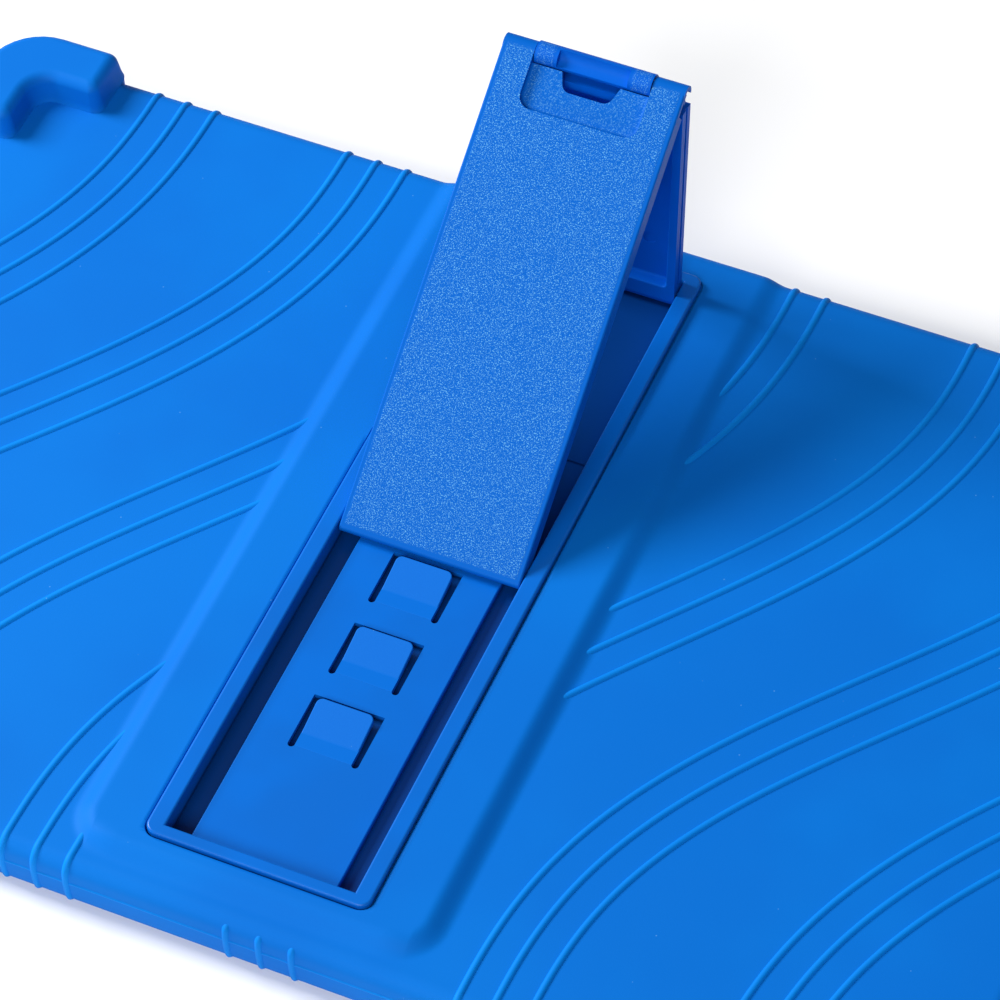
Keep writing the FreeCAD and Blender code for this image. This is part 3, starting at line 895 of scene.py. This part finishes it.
def silicone_finish(name, colour, deep):
    """Soft matt silicone with a powdery skin, faint clouding and a little dust."""
    f = Finish(name, IOR=1.42, Specular_IOR_Level=0.1)
    cloud = f.noise(46 * MM, 3.0)
    fine = f.noise(0.32 * MM, 2.0)
    specks = dust(f, 4.2 * MM, 0.16 * MM)
    tone = f.mix(cloud.step(0.35, 0.65), colour, deep)
    f.set(Base_Color=f.mix(specks * 0.5, tone, DUST),
          Roughness=0.50 + 0.10 * f.noise(9 * MM, 2.0) + 0.06 * fine,
          Normal=f.bump(fine, 0.006 * MM))
    return f.material


def moulded_finish(name, colour, shine, grain=0.0):
    """Smooth moulded plastic: faint flow marks, fine texture and a few scuffs, with painted shade: a much darker
    blue below the plate level.
    """
    f = Finish(name, IOR=1.45, Specular_IOR_Level=0.28)
    flow = f.noise(17 * MM, 2.0)
    fine = f.noise(0.25 * MM, 2.0)
    deep = tuple(c * 0.9 for c in colour[:3]) + (1.0,)
    specks = dust(f, 5.5 * MM, 0.13 * MM)
    # Painted shade: below the plate level the colour turns to a much darker blue, standing for the shade in the
    # channels.
    below = f.split()[2].step(plate_z - 0.3 * MM, plate_z - 1.2 * MM)
    tone = f.mix(below, f.mix(flow.step(0.3, 0.7), colour, deep), TRAY_PAINTED_SHADE)
    f.set(Base_Color=f.mix(specks * 0.45, tone, DUST),
          Roughness=shine + 0.08 * flow + 0.05 * fine,
          Normal=f.bump(fine, (0.003 + grain) * MM))
    return f.material


def tab_finish():
    """Stop tab: glossy at the flat root, frosted on the wedge."""
    f = Finish("tab plastic", IOR=1.49, Specular_IOR_Level=0.12)
    frosted = f.split()[2].step(plate_z + 0.02 * MM, plate_z + 0.16 * MM)
    grain = f.noise(0.22 * MM, 3.0, 0.7)
    pale = f.mix(grain.step(0.45, 0.75), TRAY, srgb(6, 108, 206))
    specks = dust(f, 2.2 * MM, 0.13 * MM)
    f.set(Base_Color=f.mix(specks * frosted * 0.5, f.mix(frosted, TRAY, pale), DUST),
          Roughness=0.34 + 0.24 * frosted + 0.08 * grain,
          Normal=f.bump(grain * frosted, 0.02 * MM))
    return f.material


def spark_grain(f, place):
    """The eroded grain of the panel's tool: height and the share of it that glints, which is painted pale as
    painted highlight.
    """
    coarse = f.noise(0.23 * MM, 1.0, 0.5, place)
    fine = f.noise(0.12 * MM, 1.0, 0.5, place)
    height = 0.6 * coarse + 0.4 * fine
    return height, height.step(0.52, 0.65)


def panel_finish():
    """Front leg: spark-eroded grain inside a smooth border, softer on the pocket's floor."""
    f = Finish("panel plastic", IOR=1.33, Specular_IOR_Level=0.12)
    place = f.turned((-panel_lean, 0.0, 0.0), apex)
    x, y, z = f.split(place)
    face = z.step(HINGE_RADIUS - 0.12 * MM, HINGE_RADIUS - 0.04 * MM)
    sides = abs(x).step(panel_half - 0.75 * MM, panel_half - 1.1 * MM)
    free_edge = y.step(panel_foot + 0.9 * MM, panel_foot + 1.3 * MM)
    ears = y.step(0.2 * MM, -0.5 * MM)
    above_floor = z.step(HINGE_RADIUS - 1.1 * MM, HINGE_RADIUS - 1.16 * MM)
    floor = z.step(HINGE_RADIUS - 1.30 * MM, HINGE_RADIUS - 1.22 * MM) * above_floor
    where = face * sides * free_edge * ears + 0.55 * floor
    height, glints = spark_grain(f, place)
    # Pale colour on the grain's glinting peaks: painted highlight.
    tone = f.mix(glints * where * 0.8, PANEL, PAINTED_GLINT)
    f.set(Base_Color=tone,
          Roughness=0.42 + 0.08 * where + 0.04 * height,
          Normal=f.bump(height * where, 0.07 * MM))
    return f.material


def strut_finish():
    """Rear leg: smooth, with drawn sides and a grained patch on each knuckle."""
    f = Finish("strut plastic", IOR=1.33, Specular_IOR_Level=0.12)
    place = f.turned((-panel_lean, 0.0, 0.0), apex)
    x, y, z = f.split(place)
    near_axis = (y * y + z * z).step((2.35 * MM) ** 2, (2.2 * MM) ** 2)
    facing = z.step(0.55 * MM, 0.9 * MM)
    patch = abs(x).step(7.3 * MM, 7.7 * MM) * abs(x).step(10.9 * MM, 10.5 * MM) * near_axis * facing
    height, glints = spark_grain(f, place)
    flow = f.noise(14 * MM, 2.0)
    deep = tuple(c * 0.88 for c in STRUT[:3]) + (1.0,)
    tone = f.mix(flow.step(0.3, 0.7), STRUT, deep)
    # Pale colour on the knuckle patches' glinting grain: painted highlight.
    f.set(Base_Color=f.mix(glints * patch * 0.55, tone, PAINTED_GLINT),
          Roughness=0.40 + 0.10 * flow + 0.10 * patch,
          Normal=f.bump(height * patch + 0.05 * f.noise(0.25 * MM, 2.0), 0.06 * MM))
    return f.material


def steel_finish():
    """Ground steel pin: bright, with fine rings round it."""
    f = Finish("pin steel", Metallic=1.0)
    x = f.split()[0]
    rings = f.noise(0.12 * MM, 1.0, 0.5, f.add("ShaderNodeCombineXYZ", {}, {"X": x}).outputs[0])
    f.set(Base_Color=f.mix(rings, srgb(176, 178, 182), srgb(206, 208, 212)), Roughness=0.24 + 0.14 * rings,
          Normal=f.bump(rings, 0.004 * MM))
    return f.material


# ---- button covers -----------------------------------------------------------
def button_cover(name, node, finish, ridges):
    """Silicone pad over a side button, crowned outwards, with low ridges to feel."""
    low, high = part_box(node)
    centre = ((low.x + high.x) / 2, (low.z + high.z) / 2)
    half = ((high.x - low.x) / 2, (high.z - low.z) / 2)
    rings = []
    levels = [(0.0, high.y), (0.0, low.y + 0.5 * MM)]
    for k in range(1, 6):
        turn = math.pi / 2 * k / 5
        levels.append((0.5 * MM * (1 - math.cos(turn)), low.y + 0.5 * MM * (1 - math.sin(turn))))
    for shrink, y in levels:
        corner = 0.6 * half[1] - 0.5 * shrink
        outline = rounded_rectangle(half[0] - shrink, half[1] - shrink, corner, centre, 6)
        rings.append([(p.x, y, p.y) for p in outline])
    pad = stack(name, rings)
    marks = []
    for place in ridges:
        x = centre[0] + place * half[0]
        ridge = []
        for shrink, y in ((0.0, low.y + 0.3 * MM), (0.0, low.y + 0.1 * MM), (0.12, low.y - 0.08 * MM),
                          (0.3, low.y - 0.16 * MM)):
            reach = ((0.5 - shrink) * MM, (1.2 - shrink) * MM, (0.45 - shrink * 0.9) * MM)
            outline = rounded_rectangle(*reach, (x, centre[1]), 5)
            ridge.append([(p.x, y, p.y) for p in outline])
        marks.append(stack("ridge", ridge))
    pad = shade(carve(pad, marks, "UNION") if marks else pad)
    pad.data.materials.clear()
    pad.data.materials.append(finish)
    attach(pad, node)
    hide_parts(node)
    return pad


# ---- camera and light --------------------------------------------------------
CAMERA_PLACE = (0.23467, -0.4345, 0.67129)
CAMERA_TURN = (37.369, 2.3407, 23.831)
CAMERA_LENS = 168.27


def camera():
    data = bpy.data.cameras.new("camera")
    data.lens = CAMERA_LENS
    data.sensor_width = 36.0
    data.clip_start = 0.01
    made = bpy.data.objects.new("camera", data)
    made.location = CAMERA_PLACE
    made.rotation_euler = [math.radians(a) for a in CAMERA_TURN]
    bpy.context.scene.collection.objects.link(made)
    bpy.context.scene.camera = made


def soft_box(name, place, size, power, aim=(0.0, 0.0, 0.01)):
    data = bpy.data.lights.new(name, "AREA")
    data.shape = "RECTANGLE"
    data.size, data.size_y = size
    data.energy = power
    made = bpy.data.objects.new(name, data)
    made.location = place
    made.rotation_euler = (Vector(aim) - Vector(place)).to_track_quat("-Z", "Y").to_euler()
    bpy.context.scene.collection.objects.link(made)


def studio():
    scene = bpy.context.scene
    world = bpy.data.worlds.new("studio")
    world.use_nodes = True
    world.node_tree.nodes["Background"].inputs["Color"].default_value = (0.96, 0.98, 1.0, 1.0)
    world.node_tree.nodes["Background"].inputs["Strength"].default_value = 0.17
    scene.world = world
    scene.view_settings.view_transform = "Standard"
    soft_box("key", (-0.95, 0.1, 0.70), (0.4, 0.5), 18.0)
    soft_box("front", (0.1, -1.15, 0.95), (1.0, 0.6), 13.8)
    ground = bmesh.new()
    reach = 3.0
    corners = [ground.verts.new((a * reach, b * reach, 0.0)) for a, b in ((-1, -1), (1, -1), (1, 1), (-1, 1))]
    ground.faces.new(corners)
    floor = to_object("floor", ground)
    f = Finish("floor", Roughness=0.9, Specular_IOR_Level=0.2)
    f.set(Base_Color=f.mix(f.noise(0.2, 2.0), (0.93, 0.93, 0.93, 1.0), (0.96, 0.96, 0.96, 1.0)))
    floor.data.materials.append(f.material)


# ---- build -------------------------------------------------------------------
def paint(nodes, material):
    for node in nodes:
        frame["nodes"][node].data.materials.clear()
        frame["nodes"][node].data.materials.append(material)


def belongs(made, body):
    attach(made, body)
    return made


silicone = silicone_finish("silicone", SILICONE, SILICONE_DEEP)
# Silicone for the ribs and parting line, lighter than the skin: painted highlight on the raised beads.
highlit_silicone = silicone_finish("rubbed silicone", RIB_HIGHLIGHT, RIB_HIGHLIGHT_DEEP)
tray_plastic = moulded_finish("tray plastic", TRAY, 0.24)
paint(["stand_tray", "retainer_frame"], tray_plastic)
paint(["stop_tab_1", "stop_tab_2", "stop_tab_3"], tab_finish())
paint(["panel"], panel_finish())
paint(["strut"], strut_finish())
paint(["foot_pin", "apex_pin"], steel_finish())

skin = silicone_skin()
skin.data.materials.clear()
skin.data.materials.append(silicone)
belongs(skin, "case")
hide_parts("silicone_shell")

bead = sweep_tree()
rib_radius = bead_size(RIB_WIDTH, RIB_HEIGHT)[0]
belongs(swept("wave_ribs", rib_paths() + near_wall_ribs(), rib_radius, 16, bead, highlit_silicone), "case")
rib_x = {"+y": [far + n * RIB_PITCH for far, near in WAVES for n in range(RIBS_IN_GROUP)],
         "-y": [near + n * RIB_PITCH for far, near in WAVES for n in range(RIBS_IN_GROUP)]}
parting, parting_radius = parting_paths(rib_x)
belongs(swept("parting_line", parting, parting_radius, 10, bead, highlit_silicone), "case")

button_cover("power_cover", "power_button", silicone, [])
button_cover("volume_cover", "volume_button", silicone, [-0.55, 0.55])

studio()
camera()
